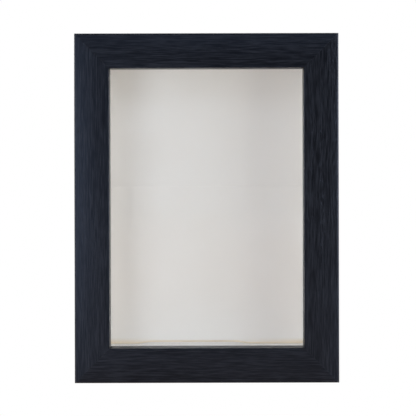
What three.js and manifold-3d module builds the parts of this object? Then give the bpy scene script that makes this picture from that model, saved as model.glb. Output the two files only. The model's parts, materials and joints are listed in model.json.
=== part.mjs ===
// Shadow box: four mitred mouldings round a deep rebate that holds a glass pane, a lining of white
// boards, a white display board and a fibreboard back panel. Turn buttons on the back of the frame
// hold the panel in, sawtooth hangers hang the box upright or on its side, and two pads keep its
// lower edge off the wall. Millimetres, +Z up, +Y to the back, origin under the middle of the frame.
import * as THREE from "three";
import { mergeVertices } from "three/addons/utils/BufferGeometryUtils.js";
import Module from "manifold-3d";

const wasm = await Module();
wasm.setup();

// ---- Driving dimensions ----
const OPENING_WIDTH = 114.3; // clear view between the two side rails
const OPENING_HEIGHT = 164.4;
const RAIL_WIDTH = 20.6; // face of the moulding
const FRAME_DEPTH = 38;
const LIP_REACH = 7; // how far the lip stands in front of the glass
const LIP_DEPTH = 11;
const SIGHT_RADIUS = 0.6;
const EDGE_RADIUS = 1.3;
const REAR_RADIUS = 0.5;
const CROWN_START = 6; // where the face starts to fall away towards the outer edge
const CROWN_DROP = 0.9;
const MITRE_GAP = 0.15;

const LAYER_GAP = 0.2; // between the layers that are stacked in the rebate
const SIDE_GAP = 0.3; // between those layers and the rebate's wall
const CUT_GAP = 0.3; // round a fastener in the wood

const GLASS_WIDTH = 127;
const GLASS_HEIGHT = 177.8;
const GLASS_THICKNESS = 2;
const LINER_THICKNESS = 3.2;
const FLOOR_LINER_THICKNESS = 4.8; // brings the floor of the box up near the top of the lip
const LINER_DEPTH = 21;
const BOARD_THICKNESS = 2;
const BOARD_SIDE_GAP = 0.4;
const BOARD_FLOOR_GAP = 0.6;
const PANEL_THICKNESS = 3;

const BUTTON_THICKNESS = 1;
const BUTTON_PIVOT_RADIUS = 5.2;
const BUTTON_TIP_RADIUS = 3.4;
const BUTTON_TIP_REACH = 12.5; // pivot to the centre of the round tip
const BUTTON_BOSS_RADIUS = 3.9;
const BUTTON_BOSS_HEIGHT = 0.5;
const BUTTON_HOLE_RADIUS = 1.65;
const BUTTON_CLEARANCE = 0.3; // play above and below the button
const BUTTON_UPRIGHT = 55; // from the middle of a side rail
const BUTTON_ACROSS = 42; // from the middle of the top and bottom rails

const SCREW_RADIUS = 1.45;
const SCREW_LENGTH = 11; // below the head
const SCREW_TIP = 2.4;
const SCREW_HEAD_RADIUS = 2.9;
const SCREW_HEAD_HEIGHT = 1.7;
const RECESS_REACH = 1.55;
const RECESS_WIDTH = 0.65;
const RECESS_DEPTH = 0.9;

const HANGER_LENGTH = 45;
const HANGER_HEIGHT = 9;
const HANGER_THICKNESS = 0.9;
const HANGER_RISE = 2.2; // room for a nail head behind the raised middle
const HANGER_FOOT = 7;
const HANGER_RAMP = 2.6;
const HANGER_TEETH = 9;
const TOOTH_PITCH = 2.6;
const TOOTH_DEPTH = 1.7;
const NAIL_INSET = 3.4; // from the hanger's end
const NAIL_RADIUS = 0.65;
const NAIL_LENGTH = 9;
const NAIL_HEAD_RADIUS = 1.8;
const NAIL_HEAD_HEIGHT = 0.9;

const WEDGE_LEG = 5.4; // a corner wedge is a folded steel V, driven across the mitre
const WEDGE_SPREAD = THREE.MathUtils.degToRad(52); // angle of a leg from the mitre
const WEDGE_THICKNESS = 0.7;
const WEDGE_LENGTH = 9;
const WEDGE_PLACES = { inner: 14.6, outer: 24.2 }; // apexes, along the mitre from the opening

const PAD_RADIUS = 4.5;
const PAD_THICKNESS = 3;
const PAD_HEIGHT = 24; // above the foot of the frame

const ROUND_SEGMENTS = 24;

// ---- Worked-out places ----
const FRAME_WIDTH = OPENING_WIDTH + 2 * RAIL_WIDTH;
const FRAME_HEIGHT = OPENING_HEIGHT + 2 * RAIL_WIDTH;
const OPENING_CENTRE = FRAME_HEIGHT / 2;
const FRONT = -FRAME_DEPTH / 2;
const REAR = FRAME_DEPTH / 2;
const GLASS_FRONT = FRONT + LIP_DEPTH + LAYER_GAP;
const LINER_FRONT = GLASS_FRONT + GLASS_THICKNESS + LAYER_GAP;
const LINER_REAR = LINER_FRONT + LINER_DEPTH;
const BOARD_REAR = LINER_REAR - LAYER_GAP;
const PANEL_FRONT = LINER_REAR + LAYER_GAP;
const FASTENER_LINE = (LIP_REACH + RAIL_WIDTH) / 2; // middle of the rail's back, from the sight edge
const REBATE_WIDTH = OPENING_WIDTH + 2 * LIP_REACH;
const REBATE_HEIGHT = OPENING_HEIGHT + 2 * LIP_REACH;

// ---- Materials ----
const material = (color, roughness, metalness = 0) =>
  new THREE.MeshStandardMaterial({ color, roughness, metalness });
const blackGrain = material(0x23262e, 0.55);
const clearGlass = material(0xdfe9e6, 0.05);
const whitePaper = material(0xdcdad4, 0.85);
const fibreboard = material(0x8a6a4a, 0.8);
const zincPlate = material(0xb4b4ae, 0.35, 0.9);
const wedgeSteel = material(0x8d8f92, 0.45, 0.9);
const blackRubber = material(0x1c1c1e, 0.9);

// ---- Solids ----
// A closed three.js geometry as a manifold solid.
function solidOf(geometry) {
  const bare = geometry.index ? geometry.toNonIndexed() : geometry.clone();
  bare.deleteAttribute("normal");
  bare.deleteAttribute("uv");
  const merged = mergeVertices(bare, 1e-4);
  return new wasm.Manifold(
    new wasm.Mesh({
      numProp: 3,
      vertProperties: merged.attributes.position.array,
      triVerts: new Uint32Array(merged.index.array),
    }),
  );
}

// A manifold solid as a three.js geometry with flat faces.
function geometryOf(solid) {
  const mesh = solid.getMesh();
  const indexed = new THREE.BufferGeometry()
    .setAttribute("position", new THREE.BufferAttribute(mesh.vertProperties, 3))
    .setIndex(new THREE.BufferAttribute(mesh.triVerts, 1));
  const flat = indexed.toNonIndexed();
  flat.computeVertexNormals();
  return flat;
}

// The first geometry with every cutter taken out of it.
function cut(geometry, cutters) {
  let solid = solidOf(geometry);
  for (const cutter of cutters) solid = solid.subtract(solidOf(cutter));
  return geometryOf(solid);
}

function join(geometries) {
  return geometryOf(geometries.map(solidOf).reduce((all, next) => all.add(next)));
}

function extrude(shape, depth) {
  return new THREE.ExtrudeGeometry(shape, { depth, bevelEnabled: false, curveSegments: 8 });
}

// A flat outline in X and Z, given as (x, z), made solid from y to y + depth.
function plate(outline, y, depth) {
  return extrude(outline, depth)
    .rotateX(Math.PI / 2)
    .translate(0, y + depth, 0);
}

function board(width, depth, height) {
  return new THREE.BoxGeometry(width, depth, height);
}

// A solid turned about the Y axis, from [radius, y] points that start and end on the axis.
function turned(points) {
  const profile = points.map(([radius, y]) => new THREE.Vector2(radius, y));
  return new THREE.LatheGeometry(profile, ROUND_SEGMENTS);
}

// A round pin along Y, from y to y + length.
function pin(radius, y, length) {
  return turned([
    [0, y],
    [radius, y],
    [radius, y + length],
    [0, y + length],
  ]);
}

function piece(name, geometry, finish) {
  const mesh = new THREE.Mesh(geometry, finish);
  mesh.name = name;
  return mesh;
}

// ---- Mouldings ----
// The section of the moulding: x runs out from the sight edge, y runs back from the face.
function railSection() {
  const section = new THREE.Shape();
  section.moveTo(SIGHT_RADIUS, 0);
  section.lineTo(CROWN_START, 0);
  section.quadraticCurveTo(
    (CROWN_START + RAIL_WIDTH) / 2,
    0,
    RAIL_WIDTH - EDGE_RADIUS,
    CROWN_DROP,
  );
  section.absarc(
    RAIL_WIDTH - EDGE_RADIUS,
    CROWN_DROP + EDGE_RADIUS,
    EDGE_RADIUS,
    -Math.PI / 2,
    0,
  );
  section.lineTo(RAIL_WIDTH, FRAME_DEPTH - REAR_RADIUS);
  section.absarc(
    RAIL_WIDTH - REAR_RADIUS,
    FRAME_DEPTH - REAR_RADIUS,
    REAR_RADIUS,
    0,
    Math.PI / 2,
  );
  section.lineTo(LIP_REACH, FRAME_DEPTH);
  section.lineTo(LIP_REACH, LIP_DEPTH);
  section.lineTo(0, LIP_DEPTH);
  section.lineTo(0, SIGHT_RADIUS);
  section.absarc(SIGHT_RADIUS, SIGHT_RADIUS, SIGHT_RADIUS, Math.PI, 1.5 * Math.PI);
  return section;
}

// A bottom rail, about the middle of the opening, with both ends mitred: each point of the section
// is carried to where its own line meets the 45 degree cuts.
function railGeometry(along, across) {
  const geometry = extrude(railSection(), 1);
  const place = geometry.attributes.position;
  for (let i = 0; i < place.count; i += 1) {
    const out = place.getX(i);
    const back = place.getY(i);
    const end = place.getZ(i) - 0.5;
    const length = along + 2 * out - Math.SQRT2 * MITRE_GAP;
    place.setXYZ(i, end * length, FRONT + back, -(across / 2 + out));
  }
  return geometry;
}

// ---- Corner wedges ----
// A folded strip seen from behind: two legs that meet at the apex and point back along the mitre.
function wedgeOutline(thickness, leg) {
  const spread = WEDGE_SPREAD;
  const forward = thickness / 2 / Math.sin(spread);
  const legAt = (apex, length, side) => [
    apex - length * Math.cos(spread),
    side * length * Math.sin(spread),
  ];
  const points = [
    [forward, 0],
    legAt(forward, leg, 1),
    legAt(-forward, leg - thickness / Math.tan(spread) / 2, 1),
    [-forward, 0],
    legAt(-forward, leg - thickness / Math.tan(spread) / 2, -1),
    legAt(forward, leg, -1),
  ];
  return new THREE.Shape(points.map(([x, z]) => new THREE.Vector2(x, z)));
}

// The wedge at one corner of an opening, or the slot for it when room is given.
function wedgeGeometry(along, across, sideX, sideZ, place, room = 0) {
  const start = REAR - WEDGE_LENGTH - room;
  const depth = WEDGE_LENGTH + (room ? room + 1 : -LAYER_GAP);
  return plate(wedgeOutline(WEDGE_THICKNESS + 2 * room, WEDGE_LEG + 2 * room), start, depth)
    .translate(place, 0, 0)
    .rotateY(Math.atan2(-sideZ, sideX))
    .translate((sideX * along) / 2, 0, (sideZ * across) / 2);
}

// ---- Turn buttons, screws and nails ----
// A teardrop plate with a raised boss round its screw. Its tip points along +Z, over the panel.
function buttonGeometry() {
  const lean = Math.asin((BUTTON_PIVOT_RADIUS - BUTTON_TIP_RADIUS) / BUTTON_TIP_REACH);
  const outline = new THREE.Shape();
  outline.absarc(0, 0, BUTTON_PIVOT_RADIUS, Math.PI - lean, 2 * Math.PI + lean);
  outline.absarc(0, BUTTON_TIP_REACH, BUTTON_TIP_RADIUS, lean, Math.PI - lean);
  const face = REAR + BUTTON_CLEARANCE;
  const middle = face + BUTTON_THICKNESS / 2;
  const sheet = plate(outline, face, BUTTON_THICKNESS);
  const boss = pin(BUTTON_BOSS_RADIUS, middle, BUTTON_THICKNESS / 2 + BUTTON_BOSS_HEIGHT);
  const hole = pin(BUTTON_HOLE_RADIUS, face - 1, BUTTON_THICKNESS + BUTTON_BOSS_HEIGHT + 2);
  return cut(join([sheet, boss]), [hole]);
}

// A pan-head screw with a cross recess, whose head clears the button's boss.
function screwGeometry() {
  const seat = REAR + 2 * BUTTON_CLEARANCE + BUTTON_THICKNESS + BUTTON_BOSS_HEIGHT;
  const top = seat + SCREW_HEAD_HEIGHT;
  const tip = seat - SCREW_LENGTH;
  const body = turned([
    [0, tip],
    [SCREW_RADIUS, tip + SCREW_TIP],
    [SCREW_RADIUS, seat],
    [SCREW_HEAD_RADIUS, seat],
    [SCREW_HEAD_RADIUS, seat + 0.5 * SCREW_HEAD_HEIGHT],
    [0.86 * SCREW_HEAD_RADIUS, seat + 0.82 * SCREW_HEAD_HEIGHT],
    [0.55 * SCREW_HEAD_RADIUS, top],
    [0, top],
  ]);
  const slots = [0, Math.PI / 2].map((turn) =>
    board(2 * RECESS_REACH, 2 * RECESS_DEPTH, RECESS_WIDTH).rotateY(turn).translate(0, top, 0),
  );
  return cut(body, slots);
}

// A round-headed pin that holds a hanger's foot.
function nailGeometry() {
  const seat = REAR + LAYER_GAP + HANGER_THICKNESS + LAYER_GAP;
  return turned([
    [0, seat - NAIL_LENGTH],
    [NAIL_RADIUS, seat - NAIL_LENGTH + 2 * NAIL_RADIUS],
    [NAIL_RADIUS, seat],
    [NAIL_HEAD_RADIUS, seat],
    [NAIL_HEAD_RADIUS, seat + 0.4 * NAIL_HEAD_HEIGHT],
    [0.6 * NAIL_HEAD_RADIUS, seat + NAIL_HEAD_HEIGHT],
    [0, seat + NAIL_HEAD_HEIGHT],
  ]);
}

// ---- Hangers ----
// A pressed strip: two feet on the rail, and a raised middle whose inner edge is cut into teeth.
function hangerGeometry() {
  const half = HANGER_LENGTH / 2;
  const foot = half - HANGER_FOOT;
  const crest = foot - HANGER_RAMP;
  const line = [
    [-half, 0],
    [-foot, 0],
    [-crest, HANGER_RISE],
    [crest, HANGER_RISE],
    [foot, 0],
    [half, 0],
  ];
  const low = line.map(([x, y]) => new THREE.Vector2(x, REAR + LAYER_GAP + y));
  const high = line.map(([x, y]) => new THREE.Vector2(x, REAR + LAYER_GAP + y + HANGER_THICKNESS));
  const strip = extrude(new THREE.Shape([...low, ...high.reverse()]), HANGER_HEIGHT);
  strip.translate(0, 0, -HANGER_HEIGHT / 2);
  const notches = [];
  for (let i = 0; i < HANGER_TEETH; i += 1) {
    notches.push(notchGeometry((i - (HANGER_TEETH - 1) / 2) * TOOTH_PITCH));
  }
  const holes = [-1, 1].map((side) =>
    pin(NAIL_RADIUS + 0.25, REAR - 1, 3).translate(side * (half - NAIL_INSET), 0, 0),
  );
  return cut(strip, [...notches, ...holes]);
}

// One notch between two teeth, in the edge that faces the panel.
function notchGeometry(x) {
  const edge = HANGER_HEIGHT / 2;
  const half = TOOTH_PITCH / 2;
  const outline = [
    [x - half, edge],
    [x, edge - TOOTH_DEPTH],
    [x + half, edge],
    [x + half, edge + 1],
    [x - half, edge + 1],
  ];
  const notch = new THREE.Shape(outline.map(([across, up]) => new THREE.Vector2(across, up)));
  return plate(notch, REAR, 2 * HANGER_RISE + 2);
}

// ---- One side of the frame ----
// Everything that belongs to one rail, made as if it were the bottom one and turned into place.
// buttons gives each turn button's place along the rail, under the name of that end of the rail.
function side({ name, turn, along, across, liner, buttons, hanger }) {
  const group = new THREE.Group();
  const fastener = -(across / 2 + FASTENER_LINE);
  const cutters = [];

  for (const end of [-1, 1]) {
    for (const place of Object.values(WEDGE_PLACES)) {
      cutters.push(wedgeGeometry(along, across, end, -1, place, CUT_GAP));
    }
  }

  for (const [end, x] of Object.entries(buttons)) {
    const button = piece(`turn_button_${name}_${end}`, buttonGeometry(), zincPlate);
    const screw = piece(`button_screw_${name}_${end}`, screwGeometry(), zincPlate);
    button.position.set(x, 0, fastener);
    screw.position.set(x, 0, fastener);
    group.add(button, screw);
    cutters.push(drillHole(SCREW_RADIUS, SCREW_LENGTH).translate(x, 0, fastener));
  }

  if (hanger) {
    const strip = piece(`${hanger}_hanger`, hangerGeometry(), zincPlate);
    strip.position.z = fastener;
    group.add(strip);
    for (const [i, end] of [-1, 1].entries()) {
      const x = end * (HANGER_LENGTH / 2 - NAIL_INSET);
      const nail = piece(`${hanger}_hanger_nail_${i + 1}`, nailGeometry(), zincPlate);
      nail.position.set(x, 0, fastener);
      group.add(nail);
      cutters.push(drillHole(NAIL_RADIUS, NAIL_LENGTH).translate(x, 0, fastener));
    }
  }

  group.add(piece(`rail_${name}`, cut(railGeometry(along, across), cutters), blackGrain));

  const wall = piece(`liner_${name}`, board(liner.length, LINER_DEPTH, liner.thickness), whitePaper);
  const outer = across / 2 + LIP_REACH - SIDE_GAP;
  wall.position.set(liner.shift, (LINER_FRONT + LINER_REAR) / 2, -(outer - liner.thickness / 2));
  group.add(wall);

  group.rotation.y = turn;
  return group;
}

// The hole that a fastener of this size needs in the back of a rail.
function drillHole(radius, length) {
  const depth = length + CUT_GAP;
  return pin(radius + CUT_GAP, REAR - depth, depth + 1);
}

// ---- Assembly, about the middle of the opening ----
const acrossLiner = REBATE_WIDTH - 2 * SIDE_GAP;
const floorTop = -REBATE_HEIGHT / 2 + SIDE_GAP + FLOOR_LINER_THICKNESS;
const ceiling = REBATE_HEIGHT / 2 - SIDE_GAP - LINER_THICKNESS;
const uprightLiner = ceiling - floorTop - 2 * LAYER_GAP;
const uprightShift = (ceiling + floorTop) / 2;

const body = new THREE.Group();
body.position.z = OPENING_CENTRE;

body.add(
  side({
    name: "bottom",
    turn: 0,
    along: OPENING_WIDTH,
    across: OPENING_HEIGHT,
    liner: { length: acrossLiner, thickness: FLOOR_LINER_THICKNESS, shift: 0 },
    buttons: { left: -BUTTON_ACROSS, right: BUTTON_ACROSS },
  }),
  side({
    name: "top",
    turn: Math.PI,
    along: OPENING_WIDTH,
    across: OPENING_HEIGHT,
    liner: { length: acrossLiner, thickness: LINER_THICKNESS, shift: 0 },
    buttons: { left: BUTTON_ACROSS, right: -BUTTON_ACROSS },
    hanger: "upright",
  }),
  side({
    name: "right",
    turn: -Math.PI / 2,
    along: OPENING_HEIGHT,
    across: OPENING_WIDTH,
    liner: { length: uprightLiner, thickness: LINER_THICKNESS, shift: uprightShift },
    buttons: { lower: -BUTTON_UPRIGHT, upper: BUTTON_UPRIGHT },
  }),
  side({
    name: "left",
    turn: Math.PI / 2,
    along: OPENING_HEIGHT,
    across: OPENING_WIDTH,
    liner: { length: uprightLiner, thickness: LINER_THICKNESS, shift: -uprightShift },
    buttons: { lower: BUTTON_UPRIGHT, upper: -BUTTON_UPRIGHT },
    hanger: "sideways",
  }),
);

const corners = {
  bottom_left: [-1, -1],
  bottom_right: [1, -1],
  top_right: [1, 1],
  top_left: [-1, 1],
};
for (const [corner, [sideX, sideZ]] of Object.entries(corners)) {
  for (const [wedge, place] of Object.entries(WEDGE_PLACES)) {
    const geometry = wedgeGeometry(OPENING_WIDTH, OPENING_HEIGHT, sideX, sideZ, place);
    body.add(piece(`corner_wedge_${corner}_${wedge}`, geometry, wedgeSteel));
  }
}

const glass = piece("glass_pane", board(GLASS_WIDTH, GLASS_THICKNESS, GLASS_HEIGHT), clearGlass);
glass.position.y = GLASS_FRONT + GLASS_THICKNESS / 2;
body.add(glass);

const boardWidth = REBATE_WIDTH - 2 * (SIDE_GAP + LINER_THICKNESS + BOARD_SIDE_GAP);
const boardFoot = floorTop + BOARD_FLOOR_GAP;
const boardHead = ceiling - BOARD_SIDE_GAP;
const displaySheet = board(boardWidth, BOARD_THICKNESS, boardHead - boardFoot);
const display = piece("display_board", displaySheet, whitePaper);
display.position.set(0, BOARD_REAR - BOARD_THICKNESS / 2, (boardFoot + boardHead) / 2);
body.add(display);

const panelWidth = REBATE_WIDTH - 2 * SIDE_GAP;
const panelHeight = REBATE_HEIGHT - 2 * SIDE_GAP;
const panel = piece("back_panel", board(panelWidth, PANEL_THICKNESS, panelHeight), fibreboard);
panel.position.y = PANEL_FRONT + PANEL_THICKNESS / 2;
body.add(panel);

for (const [name, sign] of Object.entries({ left: -1, right: 1 })) {
  const pad = piece(`wall_pad_${name}`, pin(PAD_RADIUS, REAR + LAYER_GAP, PAD_THICKNESS), blackRubber);
  pad.position.set(sign * (OPENING_WIDTH / 2 + FASTENER_LINE), 0, PAD_HEIGHT - OPENING_CENTRE);
  body.add(pad);
}

const shadowBox = new THREE.Group();
shadowBox.add(body);

export default shadowBox;
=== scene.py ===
"""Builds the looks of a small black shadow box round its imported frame, in a plain white studio.

The box stands on its lower rail with its glass towards -Y. Lengths are in metres and angles in radians.
Each sub-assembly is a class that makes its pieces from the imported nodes' boxes, and each finish is a class
that writes one material.
"""

from __future__ import annotations

import json
import logging
import math
from collections.abc import Callable, Iterable, Sequence
from dataclasses import dataclass
from enum import Enum
from typing import Any, ClassVar, Union

import bmesh
import bpy
from mathutils import Euler, Matrix, Vector


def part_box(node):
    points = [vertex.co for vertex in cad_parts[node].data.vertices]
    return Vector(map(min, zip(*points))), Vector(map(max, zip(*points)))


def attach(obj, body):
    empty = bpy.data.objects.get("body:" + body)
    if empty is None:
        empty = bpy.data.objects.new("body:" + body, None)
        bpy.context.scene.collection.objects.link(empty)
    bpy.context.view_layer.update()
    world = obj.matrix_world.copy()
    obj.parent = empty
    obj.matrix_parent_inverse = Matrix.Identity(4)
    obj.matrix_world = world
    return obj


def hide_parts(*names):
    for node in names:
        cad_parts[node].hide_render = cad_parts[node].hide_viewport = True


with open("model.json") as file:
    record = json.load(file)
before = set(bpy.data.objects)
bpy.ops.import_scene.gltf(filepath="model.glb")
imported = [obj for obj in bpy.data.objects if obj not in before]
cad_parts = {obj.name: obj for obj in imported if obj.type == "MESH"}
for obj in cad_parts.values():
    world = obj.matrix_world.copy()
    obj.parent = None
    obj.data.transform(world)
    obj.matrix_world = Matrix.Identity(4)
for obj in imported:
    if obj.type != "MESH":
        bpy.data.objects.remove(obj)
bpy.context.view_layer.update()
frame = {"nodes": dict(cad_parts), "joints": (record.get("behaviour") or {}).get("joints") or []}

LOG = logging.getLogger("shadow_box")
MM = 0.001
SMOOTH_ANGLE = math.radians(32)  # edges that turn by more stay sharp
MERGE_GAP = 1e-7  # points nearer than this are one point
SHANK_OVERLAP = 0.3  # the share of a head's height that its shank reaches into
BALL_SEGMENTS, BALL_RINGS = 48, 20
POLE_REACH = 1e-5  # keeps the poles of a disc off a division by nothing
LIE_BACK = (-math.pi / 2, 0.0, 0.0)  # turns what stands along +Z to face the back, +Y
NO_TURN = (0.0, 0.0, 0.0)
WHITE = (1.0, 1.0, 1.0)
FRAME_BODY = "frame"

Pair = tuple[float, float]
Triple = tuple[float, float, float]
Colour = Triple
Outline = list[Pair]
Feed = Union["Signal", bpy.types.Node, bpy.types.Material, float, int, str, Sequence[float]]


# ---- Node writing ----
def _operator(operation: str, swapped: bool = False) -> Callable[[Signal, Feed], Signal]:
    """Makes a method that adds one Math node.

    Args:
        operation: the node's operation.
        swapped: puts the other term before the signal, for a reflected operator.

    Returns:
        The method.
    """

    def apply(self: Signal, other: Feed) -> Signal:
        """The operation on the signal and another term."""
        return self.writer.math(operation, *((other, self) if swapped else (self, other)))

    return apply


class Signal:
    """An output socket that can stand in a Python expression, where it adds Math nodes to its tree."""

    def __init__(self, writer: TreeWriter, socket: bpy.types.NodeSocket) -> None:
        """Wraps one output socket of the writer's tree."""
        self.writer = writer
        self.socket = socket

    __add__ = __radd__ = _operator("ADD")
    __mul__ = __rmul__ = _operator("MULTIPLY")
    __sub__, __rsub__ = _operator("SUBTRACT"), _operator("SUBTRACT", swapped=True)
    __truediv__, __rtruediv__ = _operator("DIVIDE"), _operator("DIVIDE", swapped=True)
    __pow__ = _operator("POWER")
    at_least, at_most = _operator("MAXIMUM"), _operator("MINIMUM")

    def __neg__(self) -> Signal:
        """-self."""
        return self * -1.0

    def __abs__(self) -> Signal:
        """abs(self)."""
        return self.writer.math("ABSOLUTE", self)

    def ramp(self, start: Feed, end: Feed) -> Signal:
        """Rises smoothly from 0 where the signal is start to 1 where it is end.

        Args:
            start: where the rise begins.
            end: where it is complete.

        Returns:
            The clamped rise.
        """
        sockets = {"Value": self, "From Min": start, "From Max": end}
        made = self.writer.node("ShaderNodeMapRange", {"interpolation_type": "SMOOTHSTEP"}, sockets)
        return self.writer.out(made, "Result")


class TreeWriter:
    """Writes nodes into one node tree."""

    def __init__(self, tree: bpy.types.NodeTree) -> None:
        """Writes into the given tree."""
        self.tree = tree

    def node(
        self, kind: str, settings: dict[str, Any] | None = None, sockets: dict[Any, Feed] | None = None
    ) -> bpy.types.Node:
        """Adds a node: first its settings, then the values and links of its input sockets.

        Args:
            kind: the node's type.
            settings: its properties by name, such as a Math node's operation.
            sockets: its inputs by name or number.

        Returns:
            The new node.
        """
        made = self.tree.nodes.new(kind)
        for name, value in (settings or {}).items():
            setattr(made, name, value)
        for key, value in (sockets or {}).items():
            self.feed(made.inputs[key], value)
        return made

    def feed(self, socket: bpy.types.NodeSocket, value: Feed) -> None:
        """Links a signal or a node's first output to an input socket, or sets the socket's own value."""
        if isinstance(value, Signal):
            self.tree.links.new(value.socket, socket)
        elif isinstance(value, bpy.types.Node):
            self.tree.links.new(self.first(value), socket)
        elif socket.type == "RGBA" and not isinstance(value, (int, float)):
            socket.default_value = (*value, 1.0)
        else:
            socket.default_value = value

    @staticmethod
    def first(node: bpy.types.Node) -> bpy.types.NodeSocket:
        """The first output of a node that is in use."""
        return next(socket for socket in node.outputs if socket.enabled)

    def out(self, node: bpy.types.Node, key: str | int | None = None) -> Signal:
        """A node's output as a signal, its first one in use unless key names another."""
        return Signal(self, self.first(node) if key is None else node.outputs[key])

    def math(self, operation: str, *terms: Feed) -> Signal:
        """One Math node on up to three terms."""
        made = self.node("ShaderNodeMath", {"operation": operation}, dict(enumerate(terms)))
        return self.out(made)

    def vector(self, operation: str, *terms: Feed) -> Signal:
        """One Vector Math node on up to three vectors. Its result is a vector, or a number for lengths."""
        made = self.node("ShaderNodeVectorMath", {"operation": operation}, dict(enumerate(terms)))
        return self.out(made)

    def split(self, vector: Feed) -> tuple[Signal, Signal, Signal]:
        """The X, Y and Z of a vector."""
        made = self.node("ShaderNodeSeparateXYZ", sockets={0: vector})
        return self.out(made, 0), self.out(made, 1), self.out(made, 2)

    def join(self, x: Feed = 0.0, y: Feed = 0.0, z: Feed = 0.0) -> Signal:
        """A vector from its X, Y and Z."""
        return self.out(self.node("ShaderNodeCombineXYZ", sockets={0: x, 1: y, 2: z}))

    def seen(self, ray: str) -> Signal:
        """1 for one kind of ray, such as Shadow or Camera, and 0 for the others."""
        return self.out(self.node("ShaderNodeLightPath"), f"Is {ray} Ray")


class ShaderWriter(TreeWriter):
    """Writes one material."""

    def __init__(self, name: str) -> None:
        """Makes an empty material of this name."""
        self.material = bpy.data.materials.new(name)
        self.material.use_nodes = True
        self.material.node_tree.nodes.clear()
        super().__init__(self.material.node_tree)

    def place(self) -> Signal:
        """Where a point lies on the object, in metres."""
        return self.out(self.node("ShaderNodeTexCoord"), "Object")

    def along_surface(self, layer: str) -> Signal:
        """A piece's own surface coordinates, in metres, from the named layer."""
        return self.out(self.node("ShaderNodeUVMap", {"uv_map": layer}))

    def noise(
        self,
        vector: Feed,
        scale: float | Sequence[float],
        detail: float = 2.0,
        roughness: float = 0.5,
        warp: float = 0.0,
    ) -> Signal:
        """Smooth noise from 0 to 1.

        Args:
            vector: where to read it.
            scale: its blotches for each unit of the vector, or one such number for each axis.
            detail: how many finer layers it has.
            roughness: how strong the finer layers are.
            warp: how far it is distorted.

        Returns:
            The noise's value.
        """
        if not isinstance(scale, (int, float)):
            vector, scale = self.vector("MULTIPLY", vector, scale), 1.0
        sockets = {"Vector": vector, "Scale": scale, "Detail": detail}
        sockets.update({"Roughness": roughness, "Distortion": warp})
        return self.out(self.node("ShaderNodeTexNoise", sockets=sockets), "Fac")

    def blend(self, share: Feed, first: Feed, second: Feed) -> Signal:
        """A colour between two, second where share is 1."""
        settings = {"data_type": "RGBA", "blend_type": "MIX"}
        made = self.node("ShaderNodeMix", settings, {0: share, 6: first, 7: second})
        return self.out(made, 2)

    def relief(self, height: Feed, depth: float) -> bpy.types.Node:
        """A Bump node for a height from 0 to 1 that is depth metres tall."""
        return self.node("ShaderNodeBump", sockets={"Strength": 1.0, "Distance": depth, "Height": height})

    def surface(self, **sockets: Feed) -> bpy.types.Node:
        """A Principled shader. Underscores in the names of its sockets stand for spaces."""
        named = {name.replace("_", " "): value for name, value in sockets.items()}
        return self.node("ShaderNodeBsdfPrincipled", sockets=named)

    def dressed(self, **sockets: Feed) -> bpy.types.Material:
        """The material, with one Principled shader for its surface."""
        return self.finish(self.surface(**sockets))

    def finish(self, shader: Feed) -> bpy.types.Material:
        """Makes the shader the material's surface, and returns the material."""
        self.node("ShaderNodeOutputMaterial", sockets={"Surface": shader})
        return self.material


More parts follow.
